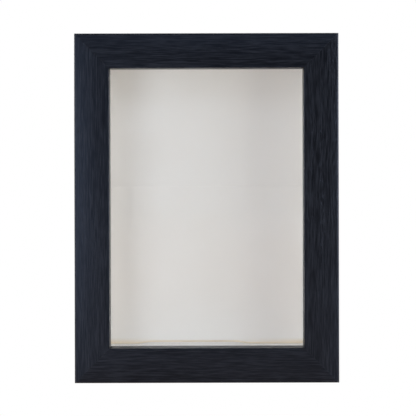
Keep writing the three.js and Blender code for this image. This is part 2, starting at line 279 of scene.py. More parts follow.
class GeometryWriter(TreeWriter):
    """Writes one geometry node group with named inputs."""

    def __init__(self, name: str) -> None:
        """Makes an empty group that takes a geometry and gives one back."""
        super().__init__(bpy.data.node_groups.new(name, "GeometryNodeTree"))
        for direction in ("INPUT", "OUTPUT"):
            self.tree.interface.new_socket("Geometry", in_out=direction, socket_type="NodeSocketGeometry")
        self.entry = self.tree.nodes.new("NodeGroupInput")
        self.identifiers: dict[str, str] = {}

    @property
    def base(self) -> Signal:
        """The geometry that the group is put on."""
        return Signal(self, self.entry.outputs["Geometry"])

    def given(self, name: str, kind: str = "Float") -> Signal:
        """Adds a named input of a kind such as Float, Int, Vector or Material."""
        socket = self.tree.interface.new_socket(name, in_out="INPUT", socket_type=f"NodeSocket{kind}")
        self.identifiers[name] = socket.identifier
        return Signal(self, self.entry.outputs[name])

    def given_sizes(self, names: Sequence[str]) -> list[Signal]:
        """Adds a named input for each of a part's fields."""
        return [self.given(label(name)) for name in names]

    def store(self, geometry: Feed, name: str, value: Feed) -> bpy.types.Node:
        """Keeps a number on every point under a name."""
        settings = {"data_type": "FLOAT", "domain": "POINT"}
        sockets = {"Geometry": geometry, "Name": name, "Value": value}
        return self.node("GeometryNodeStoreNamedAttribute", settings, sockets)

    def stored(self, name: str) -> Signal:
        """A number that was kept on the points under a name."""
        made = self.node("GeometryNodeInputNamedAttribute", {"data_type": "FLOAT"}, {"Name": name})
        return self.out(made, "Attribute")

    def position(self) -> tuple[Signal, Signal, Signal]:
        """The X, Y and Z of each point."""
        return self.split(self.node("GeometryNodeInputPosition"))

    def moved_to(self, geometry: Feed, place: Feed) -> bpy.types.Node:
        """The geometry with its points at new places."""
        return self.node("GeometryNodeSetPosition", sockets={"Geometry": geometry, "Position": place})

    def turned(self, geometry: Feed, turn: Feed, place: Feed = NO_TURN) -> bpy.types.Node:
        """The geometry turned about the origin by an XYZ rotation, and then moved by place."""
        sockets = {"Geometry": geometry, "Rotation": turn, "Translation": place}
        return self.node("GeometryNodeTransform", sockets=sockets)

    def together(self, *geometries: Feed) -> bpy.types.Node:
        """Several geometries as one."""
        made = self.node("GeometryNodeJoinGeometry")
        for geometry in geometries:
            self.feed(made.inputs[0], geometry)
        return made

    def boolean(self, operation: str, first: Feed, *others: Feed) -> Signal:
        """A union of all the solids, or the difference of the first and the others."""
        made = self.node("GeometryNodeMeshBoolean", {"operation": operation, "solver": "EXACT"})
        solids = (first, *others) if operation == "UNION" else others
        if operation == "DIFFERENCE":
            self.feed(made.inputs["Mesh 1"], first)
        for solid in solids:
            self.feed(made.inputs["Mesh 2"], solid)
        return self.out(made, "Mesh")

    def rounded_disc(
        self, radius: Feed, height: Feed, edge: Feed, two_sided: bool = False
    ) -> bpy.types.Node:
        """A disc or dome about the Z axis with a softened rim.

        Args:
            radius: its radius.
            height: how far it stands above Z = 0.
            edge: 1 for a half ball, and towards 0 for a flat top with an ever tighter rim.
            two_sided: makes it stand as far below Z = 0 as above.

        Returns:
            The node that gives the disc.
        """
        ball = {"Segments": BALL_SEGMENTS, "Rings": BALL_RINGS, "Radius": 1.0}
        ball = self.node("GeometryNodeMeshUVSphere", sockets=ball)
        x, y, z = self.position()
        reach = ((x * x + y * y) ** 0.5).at_least(POLE_REACH)
        spread = radius * reach ** (edge - 1.0)
        lift = height * z.at_least(0.0) ** edge
        if two_sided:
            lift = lift - height * (-z).at_least(0.0) ** edge
        return self.moved_to(ball, self.join(x * spread, y * spread, lift))

    def stud(
        self, radius: Feed, height: Feed, edge: Feed, shank_radius: Feed, shank_length: Feed, sides: int
    ) -> Signal:
        """A rounded head on a round shank.

        Args:
            radius: the head's radius.
            height: how far the head stands above Z = 0.
            edge: how round the head is, from 0 to 1.
            shank_radius: the shank's radius.
            shank_length: how long the shank is. It starts inside the head.
            sides: how many sides the shank has.

        Returns:
            Both as one solid.
        """
        head = self.rounded_disc(radius, height, edge)
        shank = {"Vertices": sides, "Radius": shank_radius, "Depth": shank_length}
        shank = self.node("GeometryNodeMeshCylinder", sockets=shank)
        place = self.join(0.0, 0.0, height * SHANK_OVERLAP - shank_length * 0.5)
        return self.boolean("UNION", head, self.turned(shank, NO_TURN, place))

    def stand_on_points(self, solid: Feed, material: Feed, turn: Feed | None = None) -> None:
        """Ends the group with a copy of a solid on each point, turned about Y if turn is given."""
        sockets = {"Points": self.base, "Instance": solid}
        if turn is not None:
            sockets["Rotation"] = self.join(0.0, turn, 0.0)
        self.close(self.node("GeometryNodeInstanceOnPoints", sockets=sockets), material)

    def close(self, geometry: Feed, material: Feed) -> None:
        """Ends the group: real geometry in place of instances, smooth faces and a material."""
        real = self.node("GeometryNodeRealizeInstances", sockets={"Geometry": geometry})
        smooth = self.node("GeometryNodeSetShadeSmooth", sockets={"Geometry": real})
        dressed = self.node("GeometryNodeSetMaterial", sockets={"Geometry": smooth, "Material": material})
        self.finish(dressed)

    def finish(self, geometry: Feed) -> None:
        """Makes the geometry the group's result."""
        self.feed(self.tree.nodes.new("NodeGroupOutput").inputs["Geometry"], geometry)


# ---- Mesh making ----
def new_object(name: str, mesh: bpy.types.Mesh) -> bpy.types.Object:
    """Links a mesh into the scene as an object at the origin."""
    made = bpy.data.objects.new(name, mesh)
    bpy.context.scene.collection.objects.link(made)
    return made


def mesh_of_points(name: str, points: Iterable[Sequence[float]]) -> bpy.types.Mesh:
    """A mesh of loose points, for a node group to put things on."""
    mesh = bpy.data.meshes.new(name)
    mesh.from_pydata([tuple(point) for point in points], [], [])
    return mesh


def keep_numbers(mesh: bpy.types.Mesh, values: dict[str, Sequence[float]]) -> None:
    """Keeps lists of numbers on a mesh's points under their names."""
    for name, numbers in values.items():
        mesh.attributes.new(name, "FLOAT", "POINT").data.foreach_set("value", numbers)


def face_outwards(mesh: bpy.types.Mesh) -> None:
    """Merges doubled points and turns every face of a closed mesh outwards."""
    work = bmesh.new()
    work.from_mesh(mesh)
    bmesh.ops.remove_doubles(work, verts=work.verts, dist=MERGE_GAP)
    bmesh.ops.recalc_face_normals(work, faces=work.faces)
    work.to_mesh(mesh)
    work.free()


def soften(mesh: bpy.types.Mesh) -> None:
    """Shades a mesh smoothly, except across sharp edges."""
    mesh.polygons.foreach_set("use_smooth", [True] * len(mesh.polygons))
    mesh.set_sharp_from_angle(angle=SMOOTH_ANGLE)
    mesh.update()


def plain_mesh(piece: bpy.types.Object) -> None:
    """Makes what a piece's modifiers give its own mesh, and removes them."""
    graph = bpy.context.evaluated_depsgraph_get()
    mesh = bpy.data.meshes.new_from_object(
        piece.evaluated_get(graph), preserve_all_data_layers=True, depsgraph=graph
    )
    piece.modifiers.clear()
    piece.data = mesh
    mesh.name = piece.name


def flat_sided(name: str, mesh: bpy.types.Mesh) -> bpy.types.Object:
    """A piece whose broad faces are shaded flat right up to their softened edges."""
    face_outwards(mesh)
    soften(mesh)
    piece = new_object(name, mesh)
    weigh = piece.modifiers.new("normals", "WEIGHTED_NORMAL")
    weigh.mode = "FACE_AREA"
    weigh.weight = 100
    weigh.keep_sharp = True
    plain_mesh(piece)
    return piece


def thicken(piece: bpy.types.Object, thickness: float) -> None:
    """Gives a sheet its thickness, half of it on each side."""
    solid = piece.modifiers.new("thickness", "SOLIDIFY")
    solid.thickness = thickness
    solid.offset = 0.0


def label(name: str) -> str:
    """A field's name as a node group labels its input."""
    return name.replace("_", " ").title()


def sizes_of(part: Any, names: Sequence[str]) -> dict[str, Any]:
    """A part's fields under the labels of its node group's inputs."""
    return {label(name): getattr(part, name) for name in names}


def nodes_named(word: str) -> list[str]:
    """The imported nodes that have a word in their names, in order."""
    return sorted(name for name in frame["nodes"] if word in name)


def grow(
    name: str,
    group: GeometryWriter,
    base: bpy.types.Mesh,
    sizes: dict[str, Any],
    then: Callable[[bpy.types.Object], None] | None = None,
) -> bpy.types.Object:
    """Runs a node group on a base mesh and keeps the result as a plain mesh.

    Args:
        name: the piece's name.
        group: the node group.
        base: the mesh that the group starts from.
        sizes: the group's inputs by name.
        then: adds modifiers that come after the group, if it is given.

    Returns:
        The piece, with no modifier left on it.
    """
    piece = new_object(name, base)
    modifier = piece.modifiers.new("shape", "NODES")
    modifier.node_group = group.tree
    for size, value in sizes.items():
        modifier[group.identifiers[size]] = value
    if then:
        then(piece)
    plain_mesh(piece)
    face_outwards(piece.data)
    soften(piece.data)
    return piece


def arc(centre: Sequence[float], radius: float, start: float, end: float, steps: int = 8) -> Outline:
    """Points on an arc, its ends among them.

    Args:
        centre: the arc's centre.
        radius: its radius.
        start: the angle of its first point, in degrees.
        end: the angle of its last point, in degrees.
        steps: how many stretches it has.

    Returns:
        The points, in order.
    """
    turns = [math.radians(start + (end - start) * i / steps) for i in range(steps + 1)]
    return [(centre[0] + radius * math.cos(t), centre[1] + radius * math.sin(t)) for t in turns]


def sweep(
    name: str,
    outline: Outline,
    stations: Sequence[float],
    place: Callable[[float, float, float], Sequence[float]],
) -> bpy.types.Mesh:
    """A closed solid that carries an outline along a list of stations.

    Args:
        name: the mesh's name.
        outline: the closed outline's points.
        stations: the places along the way.
        place: turns a station and an outline point into a place in space.

    Returns:
        The mesh. Its faces come station by station, in the outline's order, and its two ends come last.
    """
    count = len(outline)
    points = [place(station, *point) for station in stations for point in outline]
    faces = []
    for row in range(len(stations) - 1):
        for i in range(count):
            j = (i + 1) % count
            low, high = row * count, (row + 1) * count
            faces.append((low + i, low + j, high + j, high + i))
    faces.append(tuple(range(count)))
    faces.append(tuple((len(stations) - 1) * count + i for i in range(count)))
    mesh = bpy.data.meshes.new(name)
    mesh.from_pydata(points, [], faces)
    return mesh


def evenly(low: float, high: float, step: float) -> list[float]:
    """Places from low to high, about a step apart."""
    count = max(1, round((high - low) / step))
    return [low + (high - low) * i / count for i in range(count + 1)]


@dataclass(frozen=True)
class Box:
    """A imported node's box."""

    low: Vector
    high: Vector

    @classmethod
    def of(cls, node: str) -> Box:
        """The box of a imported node."""
        return cls(*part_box(node))

    @property
    def centre(self) -> Vector:
        """The box's middle."""
        return (self.low + self.high) / 2

    @property
    def size(self) -> Vector:
        """The box's extents."""
        return self.high - self.low


class Side(Enum):
    """A side of the box, and its turn about the Y axis from the bottom one."""

    BOTTOM = 0.0
    RIGHT = -math.pi / 2
    TOP = math.pi
    LEFT = math.pi / 2

    @property
    def label(self) -> str:
        """The side's name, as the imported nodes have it."""
        return self.name.lower()

    @property
    def upright(self) -> bool:
        """True for the left and right sides."""
        return self in (Side.LEFT, Side.RIGHT)


# ---- Finishes ----
@dataclass(frozen=True)
class Finish:
    """A finish that writes one material, once."""

    name: str

    def write(self, shader: ShaderWriter) -> bpy.types.Material:
        """Writes the material's nodes."""
        raise NotImplementedError

    def material(self) -> bpy.types.Material:
        """The material, made when it is first asked for."""
        return bpy.data.materials.get(self.name) or self.write(ShaderWriter(self.name))


@dataclass(frozen=True)
class GrainFoil(Finish):
    """Satin black foil, embossed with fine wood grain that runs along each moulding."""

    layer: str = "grain"
    dark: Colour = (0.0012, 0.0014, 0.0022)
    light: Colour = (0.0155, 0.0183, 0.0250)
    sheen_tint: Colour = (0.53, 0.67, 1.0)
    roughness: float = 0.38
    emboss: float = 0.09 * MM
    sway_reach: float = 1.5 * MM
    sway_scale: Pair = (34.0, 110.0)
    fibre_scale: Pair = (85.0, 1620.0)
    band_scale: Pair = (26.0, 560.0)
    growth_scale: Pair = (7.0, 150.0)
    pore_scale: Pair = (210.0, 3600.0)
    pore_layer: float = 3.0

    def write(self, shader: ShaderWriter) -> bpy.types.Material:
        """Writes long fibres, broad bands of growth and short open pores."""
        run, girth, _ = shader.split(shader.along_surface(self.layer))

        def grain(scale: Pair, detail: float, roughness: float = 0.5, layer: float = 0.0) -> Signal:
            """Noise with one scale along the grain and another across it."""
            along, across = scale
            return shader.noise(shader.join(run * along, girth * across, layer), 1.0, detail, roughness)

        girth = girth + (grain(self.sway_scale, 2.0) - 0.5) * self.sway_reach
        fibres = grain(self.fibre_scale, 2.5, 0.6)
        bands = grain(self.band_scale, 2.0, 0.55)
        growth = grain(self.growth_scale, 2.0)
        pores = grain(self.pore_scale, 1.0, layer=self.pore_layer).ramp(0.62, 0.72)
        pores = pores * growth.ramp(0.42, 0.6)
        figure = fibres * 0.62 + bands * 0.26 + growth * 0.12
        tone = figure.ramp(0.40, 0.63) * (1.0 - pores * 0.8)
        colour = shader.blend(tone, self.dark, self.light)
        shine = self.roughness + (fibres - 0.5) * 0.3 + pores * 0.2
        height = fibres * 0.6 + bands * 0.3 - pores * 0.4
        return shader.dressed(
            Base_Color=colour,
            Roughness=shine,
            Specular_IOR_Level=0.4,
            Specular_Tint=self.sheen_tint,
            Normal=shader.relief(height, self.emboss),
        )


@dataclass(frozen=True)
class RawFibreboard(Finish):
    """Sawn and sanded brown fibreboard."""

    pale: Colour = (0.41, 0.275, 0.165)
    brown: Colour = (0.27, 0.165, 0.09)
    speck: Colour = (0.12, 0.07, 0.035)
    clump_scale: float = 900.0
    fuzz_scale: float = 5200.0
    speck_scale: float = 2600.0
    saw_scale: Triple = (60.0, 1400.0, 60.0)
    nap: float = 0.12 * MM

    def write(self, shader: ShaderWriter) -> bpy.types.Material:
        """Writes matted fibres, dark specks and saw marks."""
        place = shader.place()
        clumps = shader.noise(place, self.clump_scale, 4.0, 0.65)
        fuzz = shader.noise(place, self.fuzz_scale, 2.0, 0.6)
        specks = shader.noise(place, self.speck_scale, 1.0).ramp(0.66, 0.74)
        saw = shader.noise(place, self.saw_scale, 2.0)
        tone = clumps * 0.55 + fuzz * 0.25 + saw * 0.2
        colour = shader.blend(tone.ramp(0.35, 0.65), self.brown, self.pale)
        colour = shader.blend(specks * 0.55, colour, self.speck)
        height = clumps * 0.5 + fuzz * 0.4 + saw * 0.3
        return shader.dressed(
            Base_Color=colour, Roughness=0.86 + (fuzz - 0.5) * 0.15, Normal=shader.relief(height, self.nap)
        )


@dataclass(frozen=True)
class WhitePaper(Finish):
    """Matt off-white paper with a faint tooth, and with painted warm shade along its foot where a foot is
    given.
    """

    white: Colour = (0.91, 0.90, 0.885)
    warm: Colour = (0.885, 0.87, 0.85)
    # the colour of the painted warm shade along the foot, deepest towards the corners
    painted_foot_shade: Colour = (0.82, 0.70, 0.52)
    tooth: float = 0.03 * MM
    foot: float | None = None
    foot_rise: float = 3.4 * MM
    foot_reach: float = 55 * MM
    felt_scale: float = 2400.0
    fibre_scale: Triple = (900.0, 900.0, 5200.0)
    cloud_scale: float = 28.0

    def write(self, shader: ShaderWriter) -> bpy.types.Material:
        """Writes felt marks, a few short fibres, a very slow change of tone and any painted shade at the
        foot.
        """
        place = shader.place()
        felt = shader.noise(place, self.felt_scale, 3.0, 0.6)
        fibres = shader.noise(place, self.fibre_scale, 2.0, 0.5, 0.6)
        cloud = shader.noise(place, self.cloud_scale, 2.0)
        colour = shader.blend((cloud * 0.7 + felt * 0.3).ramp(0.3, 0.7), self.warm, self.white)
        if self.foot is not None:
            # Painted shade: a warmer, darker tone over the lowest few millimetres, stronger towards the
            # sides, standing in for corner shade and warm bounce from the floor.
            x, _, z = shader.split(place)
            spread = abs(x).ramp(0.3 * self.foot_reach, self.foot_reach) * 0.5 + 0.18
            foot_shade_share = (1.0 - z.ramp(self.foot, self.foot + self.foot_rise)) * (spread + (cloud - 0.5) * 0.3)
            colour = shader.blend(foot_shade_share, colour, self.painted_foot_shade)
        return shader.dressed(
            Base_Color=colour,
            Roughness=0.82 + (felt - 0.5) * 0.12,
            Specular_IOR_Level=0.3,
            Normal=shader.relief(felt * 0.6 + fibres * 0.4, self.tooth),
        )


@dataclass(frozen=True)
class CutCore(Finish):
    """The tan core of a board where it has been cut on a slant."""

    pale: Colour = (0.90, 0.83, 0.70)
    tan: Colour = (0.86, 0.75, 0.58)
    layer_scale: Triple = (120.0, 7000.0, 7000.0)
    pulp_scale: float = 3600.0
    nap: float = 0.04 * MM

    def write(self, shader: ShaderWriter) -> bpy.types.Material:
        """Writes thin layers of pulp."""
        place = shader.place()
        layers = shader.noise(place, self.layer_scale, 2.0)
        pulp = shader.noise(place, self.pulp_scale, 2.0, 0.6)
        tone = (layers * 0.6 + pulp * 0.4).ramp(0.35, 0.65)
        return shader.dressed(
            Base_Color=shader.blend(tone, self.tan, self.pale),
            Roughness=0.9,
            Normal=shader.relief(layers * 0.5 + pulp * 0.5, self.nap),
        )


@dataclass(frozen=True)
class ClearPane(Finish):
    """Clear float glass. Light passes through it without a shadow."""

    tint: Colour = (0.994, 0.997, 0.995)
    index: float = 1.5
    dust_scale: float = 420.0
    dust_blur: float = 0.06

    def write(self, shader: ShaderWriter) -> bpy.types.Material:
        """Writes smooth glass that lamps shine straight through, with a trace of dust on it."""
        dust = shader.noise(shader.place(), self.dust_scale, 4.0, 0.7).ramp(0.66, 0.84)
        glass = shader.surface(
            Base_Color=self.tint,
            Roughness=0.0 + dust * self.dust_blur,
            IOR=self.index,
            Transmission_Weight=1.0,
        )
        clear = shader.node("ShaderNodeBsdfTransparent", sockets={"Color": self.tint})
        pane = shader.node("ShaderNodeMixShader", sockets={0: shader.seen("Shadow"), 1: glass, 2: clear})
        return shader.finish(pane)


@dataclass(frozen=True)
class SmoothHardboard(Finish):
    """Smooth brown hardboard, rubbed where the turn buttons sweep over it."""

    dark: Colour = (0.105, 0.055, 0.028)
    light: Colour = (0.19, 0.108, 0.058)
    fleck: Colour = (0.30, 0.19, 0.11)
    rubbed: Colour = (0.33, 0.22, 0.135)
    cloud_scale: float = 45.0
    fibre_scale: Triple = (2300.0, 2300.0, 500.0)
    fleck_scale: Triple = (1500.0, 1500.0, 420.0)
    scuff_scale: Triple = (30.0, 900.0, 1400.0)
    nap: float = 0.05 * MM
    pivots: tuple[Triple, ...] = ()
    sweep_radius: float = 12.5 * MM
    sweep_width: float = 1.3 * MM

    def write(self, shader: ShaderWriter) -> bpy.types.Material:
        """Writes pressed fibres, a few scuffs and a pale arc round each pivot."""
        place = shader.place()
        cloud = shader.noise(place, self.cloud_scale, 4.0, 0.6)
        fibres = shader.noise(place, self.fibre_scale, 3.0, 0.6, 1.2)
        flecks = shader.noise(place, self.fleck_scale, 1.0, 0.5, 2.0).ramp(0.64, 0.7)
        scuffs = shader.noise(place, self.scuff_scale, 3.0).ramp(0.66, 0.8)
        colour = shader.blend((cloud * 0.22 + fibres * 0.78).ramp(0.32, 0.68), self.dark, self.light)
        colour = shader.blend(flecks * 0.5, colour, self.fleck)
        worn = scuffs * 0.35 + self._sweeps(shader, place) * fibres * 0.3
        colour = shader.blend(worn.at_most(1.0), colour, self.rubbed)
        return shader.dressed(
            Base_Color=colour,
            Roughness=0.5 + (fibres - 0.5) * 0.2 + worn * 0.15,
            Normal=shader.relief(fibres * 0.5 + cloud * 0.2 - worn * 0.3, self.nap),
        )

    def _sweeps(self, shader: ShaderWriter, place: Signal) -> Signal:
        """1 where a button's tip has rubbed an arc, and 0 elsewhere."""
        rubbed = None
        for pivot in self.pivots:
            gap = abs(shader.vector("DISTANCE", place, pivot) - self.sweep_radius)
            arc_mark = 1.0 - gap.ramp(0.5 * self.sweep_width, self.sweep_width)
            rubbed = arc_mark if rubbed is None else rubbed.at_least(arc_mark)
        return rubbed


@dataclass(frozen=True)
class ZincPlate(Finish):
    """Bright zinc on pressed steel, a little dulled and scratched by handling."""

    bright: Colour = (0.62, 0.63, 0.63)
    dull: Colour = (0.50, 0.50, 0.485)
    roughness: float = 0.3
    cloud_scale: float = 420.0
    scratch_scale: Triple = (5200.0, 400.0, 620.0)
    pit_scale: float = 3300.0
    nap: float = 0.015 * MM

    def write(self, shader: ShaderWriter) -> bpy.types.Material:
        """Writes cloudy plating, fine scratches and darker pits."""
        place = shader.place()
        cloud = shader.noise(place, self.cloud_scale, 3.0, 0.6)
        scratches = shader.noise(place, self.scratch_scale, 2.0, 0.5, 1.5).ramp(0.55, 0.75)
        pits = shader.noise(place, self.pit_scale, 1.0).ramp(0.68, 0.78)
        tone = cloud.ramp(0.32, 0.62) * (1.0 - pits * 0.7)
        return shader.dressed(
            Base_Color=shader.blend(tone, self.dull, self.bright),
            Metallic=1.0,
            Roughness=self.roughness + (1.0 - tone) * 0.14 + scratches * 0.12,
            Normal=shader.relief(cloud * 0.3 + scratches * 0.4 - pits * 0.5, self.nap),
        )


@dataclass(frozen=True)
class StripSteel(Finish):
    """Plain rolled steel, darkened by oil and touched by rust."""

    steel: Colour = (0.30, 0.30, 0.31)
    rust: Colour = (0.19, 0.085, 0.04)
    streak_scale: Triple = (700.0, 5000.0, 700.0)
    bloom_scale: float = 1100.0
    nap: float = 0.02 * MM

    def write(self, shader: ShaderWriter) -> bpy.types.Material:
        """Writes rolled streaks and small blooms of rust."""
        place = shader.place()
        streaks = shader.noise(place, self.streak_scale, 2.0)
        blooms = shader.noise(place, self.bloom_scale, 4.0, 0.65).ramp(0.56, 0.7)
        return shader.dressed(
            Base_Color=shader.blend(blooms * 0.7, self.steel, self.rust),
            Metallic=1.0 - blooms * 0.8,
            Roughness=0.38 + streaks * 0.15 + blooms * 0.3,
            Normal=shader.relief(streaks * 0.4 + blooms * 0.6, self.nap),
        )


@dataclass(frozen=True)
class PadRubber(Finish):
    """Matt black rubber with a little dust in its pores."""

    black: Colour = (0.011, 0.011, 0.012)
    dusty: Colour = (0.045, 0.043, 0.04)
    pore_scale: float = 4200.0
    dust_scale: float = 700.0
    nap: float = 0.05 * MM

    def write(self, shader: ShaderWriter) -> bpy.types.Material:
        """Writes moulded pores and dust."""
        place = shader.place()
        pores = shader.noise(place, self.pore_scale, 2.0, 0.6)
        dust = shader.noise(place, self.dust_scale, 3.0, 0.6).ramp(0.5, 0.75)
        return shader.dressed(
            Base_Color=shader.blend(dust * 0.6, self.black, self.dusty),
            Roughness=0.72 + dust * 0.15,
            Normal=shader.relief(pores, self.nap),
        )


@dataclass(frozen=True)
class StudioWhite(Finish):
    """The studio's floor, which is lit enough to be plain white."""

    colour: Colour = (0.5, 0.5, 0.5)
    near: Colour = (0.40, 0.285, 0.215)
    far: Colour = (0.16, 0.15, 0.14)
    near_radius: float = 0.5
    far_radius: float = 3.2

    def write(self, shader: ShaderWriter) -> bpy.types.Material:
        """Writes matt paint that is blown out where it is seen, and gives the box a gentle bounce."""
        away = shader.vector("LENGTH", shader.place()).ramp(self.near_radius, self.far_radius)
        bounce = shader.blend(away, self.near, self.far)
        paint = shader.surface(
            Base_Color=self.colour, Roughness=0.9, Emission_Color=bounce, Emission_Strength=1.0
        )
        blown = shader.node("ShaderNodeEmission", sockets={"Color": WHITE, "Strength": 1.0})
        sockets = {0: shader.seen("Camera"), 1: paint, 2: blown}
        return shader.finish(shader.node("ShaderNodeMixShader", sockets=sockets))


FOIL = GrainFoil("black_grain_foil")
FIBREBOARD = RawFibreboard("raw_fibreboard")
PAPER = WhitePaper("white_liner_paper")
# The mount paper gets painted warm shade along its foot, at the display board's lower edge.
BOARD_FOOT = float(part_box("display_board")[0][2])
MOUNT_PAPER = WhitePaper(
    "white_mount_paper", (0.900, 0.895, 0.884), (0.880, 0.870, 0.852), foot=BOARD_FOOT
)
CORE = CutCore("cut_board_core")
GLASS = ClearPane("clear_pane")
ZINC = ZincPlate("zinc_plate")
SCREW_ZINC = ZincPlate("screw_zinc_plate", roughness=0.24)
STEEL = StripSteel("wedge_strip_steel")
RUBBER = PadRubber("pad_rubber")


# ---- The mouldings ----
@dataclass
class Mouldings:
    """Four lengths of foil-wrapped moulding, mitred at the corners."""

    lip_reach: float = 7 * MM
    lip_depth: float = 11 * MM
    sight_radius: float = 0.4 * MM
    lip_back_radius: float = 0.35 * MM
    edge_radius: float = 1.3 * MM
    rear_radius: float = 0.5 * MM
    crown_start: float = 4 * MM
    crown_drop: float = 0.9 * MM
    crown_power: float = 2.3
    crown_steps: int = 22
    foil_return: float = 4 * MM
    support: float = 0.5 * MM
    mitre_edge: float = 0.14 * MM
    mitre_dip: float = 0.07 * MM
    stations: int = 27
    arc_steps: int = 5
    edge_steps: int = 10
    foil_lap: float = 0.1 * MM
    bare_chamfer: float = 0.2 * MM
    seed_step: float = 0.37
    end_run: float = 0.499
    bare_limit: float = 0.9

    def __post_init__(self) -> None:
        """Reads the moulding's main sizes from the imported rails."""
        bottom, top, left = Box.of("rail_bottom"), Box.of("rail_top"), Box.of("rail_left")
        self.width = left.size.x
        self.depth = left.size.y
        self.face = left.low.y
        self.centre_z = (bottom.low.z + top.high.z) / 2
        self.clear_width = 2 * abs(left.high.x)
        self.clear_height = top.high.z - bottom.low.z - 2 * self.width

    def crown(self) -> Outline:
        """The face, from the sight edge to where the outer edge begins to turn."""
        end = self.width - self.edge_radius
        points = [(self.sight_radius + self.support, 0.0)]
        for i in range(self.crown_steps + 1):
            share = i / self.crown_steps
            out = self.crown_start + (end - self.crown_start) * share
            points.append((out, self.crown_drop * share**self.crown_power))
        return points

    def section(self) -> tuple[Outline, list[float]]:
        """The moulding's section and which of its points are bare board.

        Returns:
            The points as (out from the sight edge, back from the face), and for each point 1 where the
            board is bare and 0 where foil covers it.
        """
        lip, width, depth = self.lip_depth, self.width, self.depth
        outer, rear, steps = width - self.edge_radius, depth - self.rear_radius, self.arc_steps
        back_of_lip = [(self.lip_reach, lip), (self.foil_return, lip)]
        foil = [(self.foil_return - self.foil_lap, lip)]
        corner = self.lip_back_radius
        foil += arc((corner, lip - corner), corner, 90, 180, steps)
        foil += [(0.0, lip - corner - self.support), (0.0, self.sight_radius + self.support)]
        foil += arc((self.sight_radius, self.sight_radius), self.sight_radius, 180, 270)
        foil += self.crown()
        lean = math.degrees(math.atan(self.crown_power * self.crown_drop / (outer - self.crown_start)))
        turn = self.crown_drop + self.edge_radius
        foil += arc((outer, turn), self.edge_radius, lean - 90, 0, self.edge_steps)[1:]
        foil += [(width, turn + self.support), (width, rear - self.support)]
        foil += arc((width - self.rear_radius, rear), self.rear_radius, 0, 90, steps)
        foil += [(width - self.rear_radius - self.support, depth), (width - self.foil_return, depth)]
        bare = [(width - self.foil_return - self.foil_lap, depth)]
        bare += [(self.lip_reach + self.bare_chamfer, depth), (self.lip_reach, depth - self.bare_chamfer)]
        points = back_of_lip + foil + bare
        flags = [1.0] * len(back_of_lip) + [0.0] * len(foil) + [1.0] * len(bare)
        return points, flags

    def section_mesh(self, seed: float) -> bpy.types.Mesh:
        """The section as a ring of edges, whose points carry their place, their girth and their bareness.

        Args:
            seed: where this length's grain starts, so that no two lengths have the same figure.

        Returns:
            The ring.
        """
        points, flags = self.section()
        count = len(points)
        mesh = bpy.data.meshes.new("moulding_section")
        ring = [(i, (i + 1) % count) for i in range(count)]
        mesh.from_pydata([(out, back, 0.0) for out, back in points], ring, [])
        girth = [seed]
        for here, there in zip(points, points[1:]):
            girth.append(girth[-1] + math.dist(here, there))
        inwards = [self.inwards(points[i - 1], points[(i + 1) % count]) for i in range(count)]
        values = {
            "out": [out for out, _ in points],
            "back": [back for _, back in points],
            "in_out": [out for out, _ in inwards],
            "in_back": [back for _, back in inwards],
            "girth": girth,
            "bare": flags,
        }
        keep_numbers(mesh, values)
        return mesh

    @staticmethod
    def inwards(before: Sequence[float], after: Sequence[float]) -> tuple[float, float]:
        """The unit direction into the moulding at a point of its section, from the points beside it."""
        out, back = after[0] - before[0], after[1] - before[1]
        length = math.hypot(out, back)
        return -back / length, out / length

    def group(self) -> GeometryWriter:
        """The node group that carries the section along one side and cuts both ends to a mitre."""
        tree = GeometryWriter("mitred_moulding")
        clear, across = tree.given_sizes(("clear_length", "half_clear_width"))
        turn, lift = tree.given_sizes(("turn", "centre_z"))
        face, edge, dip = tree.given_sizes(("face", "mitre_edge", "mitre_dip"))
        stations = tree.given("Stations", "Int")
        foil, core = tree.given("Foil", "Material"), tree.given("Core", "Material")
        profile = tree.node("GeometryNodeMeshToCurve", sockets={0: tree.base})
        sockets = {"Start": (-0.5, 0, 0), "End": (0.5, 0, 0)}
        line = tree.node("GeometryNodeCurvePrimitiveLine", sockets=sockets)
        line = tree.node("GeometryNodeResampleCurve", sockets={"Curve": line, "Count": stations})
        run, _, _ = tree.position()
        at_end = tree.math("GREATER_THAN", abs(run), self.end_run)
        stretch = 0.5 / (0.5 - 1.0 / (stations - 1.0))
        line = tree.store(line, "at_end", at_end)
        line = tree.store(line, "run", run * stretch)
        sockets = {"Curve": line, "Profile Curve": profile, "Fill Caps": True}
        length = tree.node("GeometryNodeCurveToMesh", sockets=sockets)
        names = ("out", "back", "in_out", "in_back", "girth", "bare", "run", "at_end")
        out, back, in_out, in_back, girth, bare, run, at_end = map(tree.stored, names)
        out = out + in_out * at_end * dip
        back = back + in_back * at_end * dip
        half = clear * 0.5 + out
        reach = (abs(run) * 2.0 * half).at_most(half - edge) + edge * at_end
        length = tree.store(length, "along", reach * tree.math("SIGN", run))
        along = tree.stored("along")
        length = tree.moved_to(length, tree.join(along, face + back, -(across + out)))
        settings = {"data_type": "FLOAT2", "domain": "CORNER"}
        named = {"Geometry": length, "Name": FOIL.layer, "Value": tree.join(along, girth)}
        length = tree.node("GeometryNodeStoreNamedAttribute", settings, named)
        length = tree.turned(length, tree.join(0.0, turn, 0.0), tree.join(0.0, 0.0, lift))
        length = tree.node("GeometryNodeRealizeInstances", sockets={"Geometry": length})
        length = tree.node("GeometryNodeSetMaterial", sockets={"Geometry": length, "Material": foil})
        is_bare = tree.math("GREATER_THAN", bare, self.bare_limit)
        named = {"Geometry": length, "Selection": is_bare, "Material": core}
        tree.finish(tree.node("GeometryNodeSetMaterial", sockets=named))
        return tree

